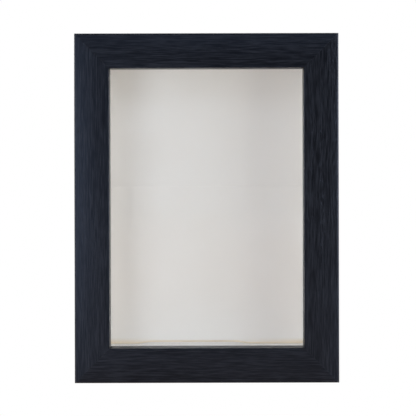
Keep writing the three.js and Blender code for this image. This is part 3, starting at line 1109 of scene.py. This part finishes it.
    def build(self) -> None:
        """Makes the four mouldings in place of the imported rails."""
        tree = self.group()
        for number, side in enumerate(Side):
            clear, across = self.clear_width, self.clear_height
            if side.upright:
                clear, across = across, clear
            sizes = sizes_of(self, ("face", "mitre_edge", "mitre_dip", "centre_z", "stations"))
            sizes |= {"Clear Length": clear, "Half Clear Width": across / 2, "Turn": side.value}
            sizes |= {"Foil": FOIL.material(), "Core": FIBREBOARD.material()}
            section = self.section_mesh(self.seed_step * number)
            piece = grow(f"moulding_{side.label}", tree, section, sizes)
            mount(piece, "black_grain_wrap", f"rail_{side.label}")


def mount(piece: bpy.types.Object, slot: str, *nodes: str, body: str = FRAME_BODY) -> None:
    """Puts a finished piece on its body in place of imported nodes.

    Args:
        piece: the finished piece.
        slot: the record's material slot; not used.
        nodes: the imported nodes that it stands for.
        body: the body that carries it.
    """
    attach(piece, body)
    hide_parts(*nodes)
    LOG.info("%s: %d faces, in place of %s", piece.name, len(piece.data.polygons), ", ".join(nodes))


# ---- What lies in the rebate ----
@dataclass
class RebateStack:
    """The pane, the white lining, the display board and the back panel, front to back."""

    board_edge: float = 0.35 * MM
    glass_edge: float = 0.25 * MM
    panel_edge: float = 0.4 * MM
    core_height: float = 1.0 * MM
    core_slant: float = 0.2 * MM
    board_gap: float = 0.03 * MM
    bow_height: float = 1.1 * MM
    bow_centre: float = -8.5 * MM
    bow_flat: float = 25 * MM
    bow_ramp: float = 10 * MM
    bow_step: float = 1.2 * MM
    floor_step: float = 1.5 * MM
    sheet_step: float = 12 * MM
    edge_steps: int = 4
    long_edge: float = 20.0
    wall_cuts: int = 7
    panel_cuts: int = 5

    def build(self) -> None:
        """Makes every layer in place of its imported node."""
        self.build_pane()
        for side in (Side.TOP, Side.LEFT, Side.RIGHT):
            self.build_wall(side)
        self.build_floor()
        self.build_display_board()
        self.build_back_panel()

    def rounded_board(
        self, name: str, node: str, edge: float, material: bpy.types.Material, cuts: int = 1
    ) -> bpy.types.Object:
        """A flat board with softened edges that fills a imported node's box.

        Args:
            name: the piece's name.
            node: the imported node.
            edge: the radius of its edges.
            material: its material.
            cuts: how many times its long edges are divided.

        Returns:
            The board.
        """
        box = Box.of(node)
        work = bmesh.new()
        place = Matrix.Translation(box.centre) @ Matrix.Diagonal((*box.size, 1.0))
        bmesh.ops.create_cube(work, size=1.0, matrix=place)
        rounding = {"offset": edge, "segments": self.edge_steps, "profile": 0.5, "affect": "EDGES"}
        bmesh.ops.bevel(work, geom=work.edges[:], **rounding)
        long_edges = [e for e in work.edges if e.calc_length() > self.long_edge * edge]
        bmesh.ops.subdivide_edges(work, edges=long_edges, cuts=cuts, use_grid_fill=True)
        mesh = bpy.data.meshes.new(name)
        work.to_mesh(mesh)
        work.free()
        mesh.materials.append(material)
        return flat_sided(name, mesh)

    def build_pane(self) -> None:
        """The clear pane, with its edges ground."""
        pane = self.rounded_board("clear_pane", "glass_pane", self.glass_edge, GLASS.material())
        mount(pane, "clear_glass", "glass_pane")

    def build_wall(self, side: Side) -> None:
        """A white board along one wall."""
        node = f"liner_{side.label}"
        name = f"paper_wall_{side.label}"
        wall = self.rounded_board(name, node, self.board_edge, PAPER.material(), self.wall_cuts)
        mount(wall, "white_liner", node)

    def bow(self, x: float) -> float:
        """How far the floor board has lifted at its back edge, x from the middle of the box."""
        rise = (self.bow_flat + self.bow_ramp - abs(x - self.bow_centre)) / self.bow_ramp
        rise = min(max(rise, 0.0), 1.0)
        return self.bow_height * rise * rise * (3 - 2 * rise)

    def build_floor(self) -> None:
        """The floor board, whose middle has bowed up a little towards the back."""
        box = Box.of("liner_bottom")
        r, steps = self.board_edge, self.edge_steps
        low, high = (box.low.y, box.low.z), (box.high.y, box.high.z)
        outline = arc((low[0] + r, low[1] + r), r, 180, 270, steps)
        outline += arc((high[0] - r, low[1] + r), r, 270, 360, steps)
        outline += arc((high[0] - r, high[1] - r), r, 0, 90, steps)
        outline += [(y, high[1]) for y in reversed(evenly(low[0] + r, high[0] - r, self.floor_step))][1:-1]
        outline += arc((low[0] + r, high[1] - r), r, 90, 180, steps)
        middle = (low[1] + high[1]) / 2
        reach = Box.of("display_board").low.y - low[0]

        def place(x: float, y: float, z: float) -> Triple:
            """Lifts the upper face by the bow, which fades out towards the front."""
            share = min((y - low[0]) / reach, 1.0)
            return x, y, z + (self.bow(x) * share * share if z > middle else 0.0)

        mesh = sweep("paper_floor", outline, evenly(box.low.x, box.high.x, self.bow_step), place)
        mesh.materials.append(PAPER.material())
        mount(flat_sided("paper_floor", mesh), "white_liner", "liner_bottom")

    def build_display_board(self) -> None:
        """The white board at the back, cut on a slant that shows its tan core along the floor."""
        box, floor = Box.of("display_board"), Box.of("liner_bottom")
        front, back, cut, slant = box.low.y, box.high.y, self.core_height, self.core_slant
        foot, head = floor.high.z + self.board_gap, box.high.z
        slope = [(front, foot + cut), (front + slant, foot)]
        rise = [(front, z) for z in reversed(evenly(foot + 2 * cut, head - cut, self.sheet_step))]
        outline = [(back, foot), (back, head), (front + slant, head)] + rise + slope
        lifted = foot + 1.5 * cut

        def place(x: float, y: float, z: float) -> Triple:
            """Follows the bow of the floor along the lower edge, below the first row of the sheet."""
            return x, y, z + (self.bow(x) if z < lifted else 0.0)

        stations = evenly(box.low.x, box.high.x, self.bow_step)
        mesh = sweep("display_sheet", outline, stations, place)
        for finish in (MOUNT_PAPER, CORE):
            mesh.materials.append(finish.material())
        count = len(outline)
        slants = {count - 2, 2}  # the cut at the foot, and the one at the head
        for number, face in enumerate(mesh.polygons[: count * (len(stations) - 1)]):
            face.material_index = int(number % count in slants)
        mount(flat_sided("display_sheet", mesh), "white_mount_board", "display_board")

    def build_back_panel(self) -> None:
        """The hardboard panel that closes the back."""
        places = [tuple(joint["pos_m"]) for joint in frame["joints"]]
        finish = SmoothHardboard("smooth_hardboard", pivots=tuple(places))
        edge, cuts = self.panel_edge, self.panel_cuts
        panel = self.rounded_board("hardboard_panel", "back_panel", edge, finish.material(), cuts)
        mount(panel, "brown_fibreboard", "back_panel")


# ---- What is on the back of the frame ----
@dataclass(frozen=True)
class Stud:
    """A round stud with a softened head, such as a nail or a pad."""

    head_edge: float
    head_height: float
    shank_radius: float
    shank_sides: int = 16

    def group(self) -> GeometryWriter:
        """The node group for studs that stand on points, with a shank behind each head."""
        tree = GeometryWriter("round_studs")
        names = ("radius", "head_height", "head_edge", "shank_radius", "shank_length")
        solid = tree.stud(*tree.given_sizes(names), self.shank_sides)
        tree.stand_on_points(tree.turned(solid, LIE_BACK), tree.given("Metal", "Material"))
        return tree

    def build(self, name: str, nodes: Sequence[str], material: bpy.types.Material, slot: str) -> None:
        """Makes one piece of the frame that stands for several studs.

        Args:
            name: the piece's name.
            nodes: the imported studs, all of one size.
            material: their material.
            slot: the record's material slot.
        """
        boxes = [Box.of(node) for node in nodes]
        size = boxes[0].size
        sizes = sizes_of(self, ("head_height", "head_edge", "shank_radius"))
        sizes |= {"Radius": size.x / 2, "Metal": material}
        sizes["Shank Length"] = size.y - (1.0 - SHANK_OVERLAP) * self.head_height
        points = [(box.centre.x, box.high.y - self.head_height, box.centre.z) for box in boxes]
        piece = grow(name, self.group(), mesh_of_points(name, points), sizes)
        mount(piece, slot, *nodes)


@dataclass
class TurnButtons:
    """Eight pressed buttons that hold the panel in, each on a pan-head screw with a cross recess."""

    PLATE: ClassVar[tuple[str, ...]] = (
        *("pivot_radius", "tip_radius", "tip_reach", "thickness", "rim"),
        *("boss_radius", "boss_height", "hole_radius"),
    )
    SCREW: ClassVar[tuple[str, ...]] = (
        *("head_radius", "head_height", "head_edge", "shank_radius"),
        *("recess_reach", "recess_width", "recess_depth"),
    )

    pivot_radius: float = 5.2 * MM
    tip_radius: float = 3.4 * MM
    tip_reach: float = 12.5 * MM
    thickness: float = 1.0 * MM
    rim: float = 0.16
    boss_radius: float = 3.9 * MM
    boss_height: float = 0.5 * MM
    boss_edge: float = 0.3
    hole_radius: float = 1.65 * MM
    drill_length: float = 6 * MM
    drill_sides: int = 40
    head_radius: float = 2.9 * MM
    head_height: float = 1.7 * MM
    head_edge: float = 0.5
    shank_radius: float = 1.4 * MM
    shank_sides: int = 24
    recess_reach: float = 1.65 * MM
    recess_width: float = 0.62 * MM
    recess_depth: float = 1.1 * MM
    recess_foot: float = 0.44
    spin_seed: int = 7

    def button_group(self) -> GeometryWriter:
        """The node group for one button, with its tip along +Z and its lower face at Seat."""
        tree = GeometryWriter("turn_button")
        sizes = tree.given_sizes(self.PLATE)
        pivot, tip, reach, thickness, rim, boss_radius, boss_height, hole_radius = sizes
        seat, turn = tree.given_sizes(("seat", "turn"))
        metal = tree.given("Metal", "Material")
        half = thickness * 0.5
        broad = tree.rounded_disc(pivot, half, rim, two_sided=True)
        narrow = tree.rounded_disc(tip, half, rim, two_sided=True)
        narrow = tree.turned(narrow, NO_TURN, tree.join(0.0, -reach, 0.0))
        sheet = tree.node("GeometryNodeConvexHull", sockets={0: tree.together(broad, narrow)})
        boss = tree.rounded_disc(boss_radius, half + boss_height, self.boss_edge)
        drill = {"Vertices": self.drill_sides, "Radius": hole_radius, "Depth": self.drill_length}
        hole = tree.node("GeometryNodeMeshCylinder", sockets=drill)
        solid = tree.boolean("DIFFERENCE", tree.boolean("UNION", sheet, boss), hole)
        solid = tree.turned(solid, LIE_BACK, tree.join(0.0, half, 0.0))
        solid = tree.turned(solid, tree.join(0.0, turn, 0.0), tree.join(0.0, seat, 0.0))
        tree.stand_on_points(solid, metal)
        return tree

    def screw_group(self) -> GeometryWriter:
        """The node group for all the screws, each turned by a different amount."""
        tree = GeometryWriter("pan_head_screws")
        radius, height, edge, shank_radius, reach, width, depth = tree.given_sizes(self.SCREW)
        shank_length, seat = tree.given_sizes(("shank_length", "seat"))
        seed, metal = tree.given("Seed", "Int"), tree.given("Metal", "Material")
        solid = tree.stud(radius, height, edge, shank_radius, shank_length, self.shank_sides)
        slots = [self._slot(tree, reach, width, depth, height, turn) for turn in (0.0, math.pi / 2)]
        solid = tree.boolean("DIFFERENCE", solid, *slots)
        solid = tree.turned(solid, LIE_BACK, tree.join(0.0, seat, 0.0))
        settings, sockets = {"data_type": "FLOAT"}, {2: 0.0, 3: math.pi, "Seed": seed}
        spin = tree.node("FunctionNodeRandomValue", settings, sockets)
        tree.stand_on_points(solid, metal, tree.out(spin, 1))
        return tree

    def _slot(
        self, tree: GeometryWriter, reach: Feed, width: Feed, depth: Feed, height: Feed, turn: float
    ) -> bpy.types.Node:
        """One arm of the cross recess, narrower at its bottom."""
        block = tree.node("GeometryNodeMeshCube", sockets={"Size": (2.0, 2.0, 2.0)})
        x, y, z = tree.position()
        taper = (1.0 + self.recess_foot) / 2 + (1.0 - self.recess_foot) / 2 * z
        block = tree.moved_to(block, tree.join(x * reach * taper, y * (width * 0.5) * taper, z * depth))
        return tree.turned(block, (0.0, 0.0, turn), tree.join(0.0, 0.0, height))

    def build(self) -> None:
        """Makes the buttons, each on its own body, and the screws on the frame."""
        tree = self.button_group()
        for joint in frame["joints"]:
            node = joint["child"]
            box, pivot = Box.of(node), Vector(joint["pos_m"])
            offset = box.centre - pivot
            sizes = sizes_of(self, self.PLATE)
            sizes |= {"Seat": box.low.y - pivot.y, "Turn": math.atan2(offset.x, offset.z)}
            sizes["Metal"] = ZINC.material()
            name = node.replace("turn_button", "button_plate")
            piece = grow(name, tree, mesh_of_points(name, [pivot]), sizes)
            mount(piece, "button_zinc", node, body=node)
        self.build_screws()

    def build_screws(self) -> None:
        """Makes the eight screws as one piece of the frame."""
        nodes = nodes_named("button_screw")
        boxes = [Box.of(node) for node in nodes]
        top, tip = boxes[0].high.y, boxes[0].low.y
        sizes = sizes_of(self, self.SCREW)
        sizes["Shank Length"] = top - tip - (1.0 - SHANK_OVERLAP) * self.head_height
        sizes |= {"Seat": top - self.head_height, "Seed": self.spin_seed, "Metal": SCREW_ZINC.material()}
        points = [(box.centre.x, 0.0, box.centre.z) for box in boxes]
        piece = grow("pan_head_screws", self.screw_group(), mesh_of_points("screw_places", points), sizes)
        mount(piece, "screw_zinc", *nodes)


@dataclass
class Hangers:
    """Two pressed strips with a toothed edge, each held by two round-headed nails."""

    STRIP: ClassVar[tuple[str, ...]] = ("rise", "foot", "ramp", "corner", "teeth", "pitch", "tooth_depth")

    rise: float = 2.2 * MM
    thickness: float = 0.9 * MM
    foot: float = 7 * MM
    ramp: float = 2.6 * MM
    teeth: int = 9
    pitch: float = 2.6 * MM
    tooth_depth: float = 1.7 * MM
    tooth_slack: float = 0.01 * MM
    corner: float = 2.2 * MM
    edge: float = 0.12 * MM
    edge_angle: float = math.radians(50)
    step: float = 0.1 * MM
    rows: int = 7
    nail_head: Stud = Stud(0.55, 0.9 * MM, 0.6 * MM)

    def strip_group(self) -> GeometryWriter:
        """The node group for a strip's middle face, along X, with its teeth along +Z."""
        tree = GeometryWriter("toothed_hanger")
        rise, foot, ramp, corner, teeth, pitch, depth = tree.given_sizes(self.STRIP)
        length, height, turn = tree.given_sizes(("length", "height", "turn"))
        steps, place = tree.given("Steps", "Int"), tree.given("Place", "Vector")
        metal = tree.given("Metal", "Material")
        sheet = {"Size X": 1.0, "Size Y": 1.0, "Vertices X": steps, "Vertices Y": self.rows}
        sheet = tree.node("GeometryNodeMeshGrid", sockets=sheet)
        x, y, _ = tree.position()
        x = x * length
        reach = abs(x)
        start = length * 0.5 - foot
        lift = rise * (start - reach).ramp(0.0, ramp)
        turned_in = (reach - (length * 0.5 - corner)).at_least(0.0)
        half = height * 0.5 - corner + (corner * corner - turned_in * turned_in).at_least(0.0) ** 0.5
        wave = tree.math("FRACT", x / pitch + 0.5)
        notch = depth * (1.0 - abs(wave * 2.0 - 1.0))
        notch = notch * tree.math("LESS_THAN", reach, teeth * pitch * 0.5 + self.tooth_slack)
        across = (y + 0.5) * (2.0 * half - notch) - half
        sheet = tree.moved_to(sheet, tree.join(x, lift, across))
        sheet = tree.turned(sheet, tree.join(0.0, turn, 0.0), place)
        tree.close(sheet, metal)
        return tree

    def finish_edges(self, piece: bpy.types.Object) -> None:
        """Gives the strip its thickness, and takes the sharpness off its edges."""
        thicken(piece, self.thickness)
        bevel = piece.modifiers.new("edges", "BEVEL")
        bevel.width = self.edge
        bevel.segments = 2
        bevel.limit_method = "ANGLE"
        bevel.angle_limit = self.edge_angle

    def build(self) -> None:
        """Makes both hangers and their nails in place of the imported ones."""
        tree = self.strip_group()
        for node, side in (("upright_hanger", Side.TOP), ("sideways_hanger", Side.LEFT)):
            box = Box.of(node)
            length, height = max(box.size.x, box.size.z), min(box.size.x, box.size.z)
            sizes = sizes_of(self, self.STRIP)
            sizes |= {"Length": length, "Height": height, "Steps": round(length / self.step) + 1}
            sizes |= {"Turn": side.value, "Metal": ZINC.material()}
            sizes["Place"] = (box.centre.x, box.low.y + self.thickness / 2, box.centre.z)
            name = node.replace("hanger", "toothed_strip")
            piece = grow(name, tree, mesh_of_points(name, []), sizes, self.finish_edges)
            mount(piece, "hanger_zinc", node)
        nails = nodes_named("hanger_nail")
        self.nail_head.build("hanger_nails", nails, SCREW_ZINC.material(), "hanger_zinc")


@dataclass
class WallPads:
    """Two round rubber pads that keep the lower edge off the wall."""

    edge: float = 0.22
    core_radius: float = 0.5 * MM

    def build(self) -> None:
        """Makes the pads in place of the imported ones."""
        nodes = ["wall_pad_left", "wall_pad_right"]
        pad = Stud(self.edge, Box.of(nodes[0]).size.y, self.core_radius)
        pad.build("rubber_pads", nodes, RUBBER.material(), "black_rubber")


@dataclass
class CornerWedges:
    """Folded steel strips driven into the back of each mitre, two to a corner."""

    STRIP: ClassVar[tuple[str, ...]] = ("leg", "spread", "curl")

    leg: float = 5.2 * MM
    spread: float = math.radians(52)
    thickness: float = 0.6 * MM
    curl: float = 0.5 * MM
    curl_range: Pair = (0.8, 1.05)
    proud: float = 0.06 * MM
    fold_round: float = 0.004
    stations: int = 49
    rows: int = 9

    def group(self) -> GeometryWriter:
        """The node group for the wedges, each turned to point along its own mitre."""
        tree = GeometryWriter("corner_wedges")
        leg, spread, curl = tree.given_sizes(self.STRIP)
        length, stations = tree.given("Length"), tree.given("Stations", "Int")
        metal = tree.given("Metal", "Material")
        strip = {"Size X": 2.0, "Size Y": 1.0, "Vertices X": stations, "Vertices Y": self.rows}
        strip = tree.node("GeometryNodeMeshGrid", sockets=strip)
        x, y, _ = tree.position()
        share = (x * x + self.fold_round) ** 0.5
        back = -share * leg * tree.math("COSINE", spread) - curl * share.ramp(*self.curl_range)
        across = x * leg * tree.math("SINE", spread)
        depth = (y - 0.5) * length
        strip = tree.moved_to(strip, tree.join(back, depth, across))
        tree.stand_on_points(strip, metal, tree.stored("turn"))
        return tree

    def finish_strips(self, piece: bpy.types.Object) -> None:
        """Gives the strips their thickness."""
        thicken(piece, self.thickness)

    def build(self, mouldings: Mouldings) -> None:
        """Makes all the wedges as one piece of the frame.

        Args:
            mouldings: the frame that the wedges are driven into.
        """
        nodes = nodes_named("corner_wedge")
        boxes = [Box.of(node) for node in nodes]
        middle = Vector((0.0, 0.0, mouldings.centre_z))
        rear = mouldings.face + mouldings.depth + self.proud
        lean = self.spread - math.pi / 4
        apex = self.leg * (math.cos(lean) - math.sin(lean)) / 2
        points, turns = [], []
        for box in boxes:
            side_x = math.copysign(1.0, box.centre.x - middle.x)
            side_z = math.copysign(1.0, box.centre.z - middle.z)
            points.append((box.centre.x + side_x * apex, rear, box.centre.z + side_z * apex))
            turns.append(math.atan2(-side_z, side_x))
        base = mesh_of_points("wedge_places", points)
        keep_numbers(base, {"turn": turns})
        sizes = sizes_of(self, (*self.STRIP, "stations"))
        sizes |= {"Length": boxes[0].size.y, "Metal": STEEL.material()}
        piece = grow("corner_wedges", self.group(), base, sizes, self.finish_strips)
        mount(piece, "wedge_steel", *nodes)


# ---- The studio ----
@dataclass(frozen=True)
class SoftLight:
    """A soft lamp that faces the box.

    Its bearing is from the front, with right positive, and its rise is above the middle of the box.
    """

    name: str
    bearing: float
    rise: float
    reach: float
    size: Pair
    power: float
    colour: Colour = WHITE

    def build(self, target: Vector) -> None:
        """Hangs the lamp, turned towards target."""
        bearing, rise = math.radians(self.bearing), math.radians(self.rise)
        flat = math.cos(rise)
        away = Vector((math.sin(bearing) * flat, -math.cos(bearing) * flat, math.sin(rise)))
        lamp = bpy.data.lights.new(self.name, "AREA")
        lamp.shape = "RECTANGLE"
        lamp.size, lamp.size_y = self.size
        lamp.energy = self.power
        lamp.color = self.colour
        made = bpy.data.objects.new(self.name, lamp)
        made.location = target + away * self.reach
        made.rotation_euler = (-away).to_track_quat("-Z", "Y").to_euler()
        made.visible_camera = False
        bpy.context.scene.collection.objects.link(made)
        LOG.info("lamp %s: %.1f W", self.name, self.power)


@dataclass
class Studio:
    """A white floor, soft lamps and a camera square to the glass."""

    camera_distance: float = 700 * MM
    camera_rise: float = 24.4 * MM
    camera_aside: float = 0.85 * MM
    view_width: float = 243.85 * MM
    view_lift: float = 0.08 * MM
    roll: float = math.radians(0.14)
    sensor: float = 36.0
    floor_size: float = 14.0
    world_glow: float = 0.04
    lights: tuple[SoftLight, ...] = (
        SoftLight("left_front", -35.0, 0.0, 0.55, (0.25, 0.3), 0.58, (0.92, 0.985, 1.07)),
        SoftLight("left_side", -73.0, 0.0, 0.6, (0.3, 0.4), 1.65, (1.09, 1.0, 0.90)),
        SoftLight("right_side", 60.0, 0.0, 0.6, (0.3, 0.3), 0.84, (0.96, 1.03, 0.98)),
        SoftLight("right_edge", 76.0, 0.0, 0.6, (0.3, 0.4), 2.3, (1.05, 0.98, 0.97)),
        SoftLight("top", 0.0, 38.0, 0.6, (0.5, 0.25), 0.36, (0.94, 0.99, 1.10)),
        SoftLight("rear_left", 215.0, 25.0, 1.2, (0.7, 0.7), 7.5, (0.96, 0.98, 1.0)),
        SoftLight("rear_right", 140.0, 15.0, 1.2, (0.6, 0.6), 4.5, (1.0, 0.98, 0.95)),
        SoftLight("rear_top", 180.0, 60.0, 1.1, (0.9, 0.5), 4.5),
    )

    def build(self, mouldings: Mouldings) -> None:
        """Sets up the studio round the box.

        Args:
            mouldings: the frame that the camera and the lamps aim at.
        """
        target = Vector((0.0, mouldings.face, mouldings.centre_z))
        self.build_floor()
        self.build_world()
        for light in self.lights:
            light.build(target)
        self.build_camera(target)
        bpy.context.scene.view_settings.view_transform = "Standard"

    def build_floor(self) -> None:
        """A wide white floor at the foot of the box."""
        half = self.floor_size / 2
        mesh = bpy.data.meshes.new("studio_floor")
        corners = [(-half, -half, 0.0), (half, -half, 0.0), (half, half, 0.0), (-half, half, 0.0)]
        mesh.from_pydata(corners, [], [(0, 1, 2, 3)])
        mesh.materials.append(StudioWhite("studio_white").material())
        floor = new_object("studio_floor", mesh)

    def build_world(self) -> None:
        """A plain white surround that lights the box only a little."""
        world = bpy.data.worlds.new("studio")
        bpy.context.scene.world = world
        world.use_nodes = True
        world.node_tree.nodes.clear()
        tree = TreeWriter(world.node_tree)
        strength = tree.seen("Camera") * (1.0 - self.world_glow) + self.world_glow
        glow = tree.node("ShaderNodeBackground", sockets={"Color": WHITE, "Strength": strength})
        tree.node("ShaderNodeOutputWorld", sockets={"Surface": glow})

    def build_camera(self, target: Vector) -> None:
        """A camera square to the glass, raised a little, with a small shift that frames the box.

        Args:
            target: the middle of the box's face.
        """
        lens = bpy.data.cameras.new("camera")
        lens.sensor_width = self.sensor
        lens.lens = self.sensor * self.camera_distance / self.view_width
        lens.shift_y = (self.view_lift - self.camera_rise) / self.view_width
        camera = bpy.data.objects.new("camera", lens)
        offset = Vector((self.camera_aside, -self.camera_distance, self.camera_rise))
        camera.location = target + offset
        camera.rotation_euler = Euler((math.pi / 2, self.roll, 0.0))
        bpy.context.scene.collection.objects.link(camera)
        bpy.context.scene.camera = camera


def main() -> None:
    """Builds the box from the outside in, and then the studio."""
    logging.basicConfig(level=logging.INFO, format="%(name)s: %(message)s")
    mouldings = Mouldings()
    mouldings.build()
    RebateStack().build()
    TurnButtons().build()
    Hangers().build()
    WallPads().build()
    CornerWedges().build(mouldings)
    Studio().build(mouldings)


if __name__ == "__main__":
    main()
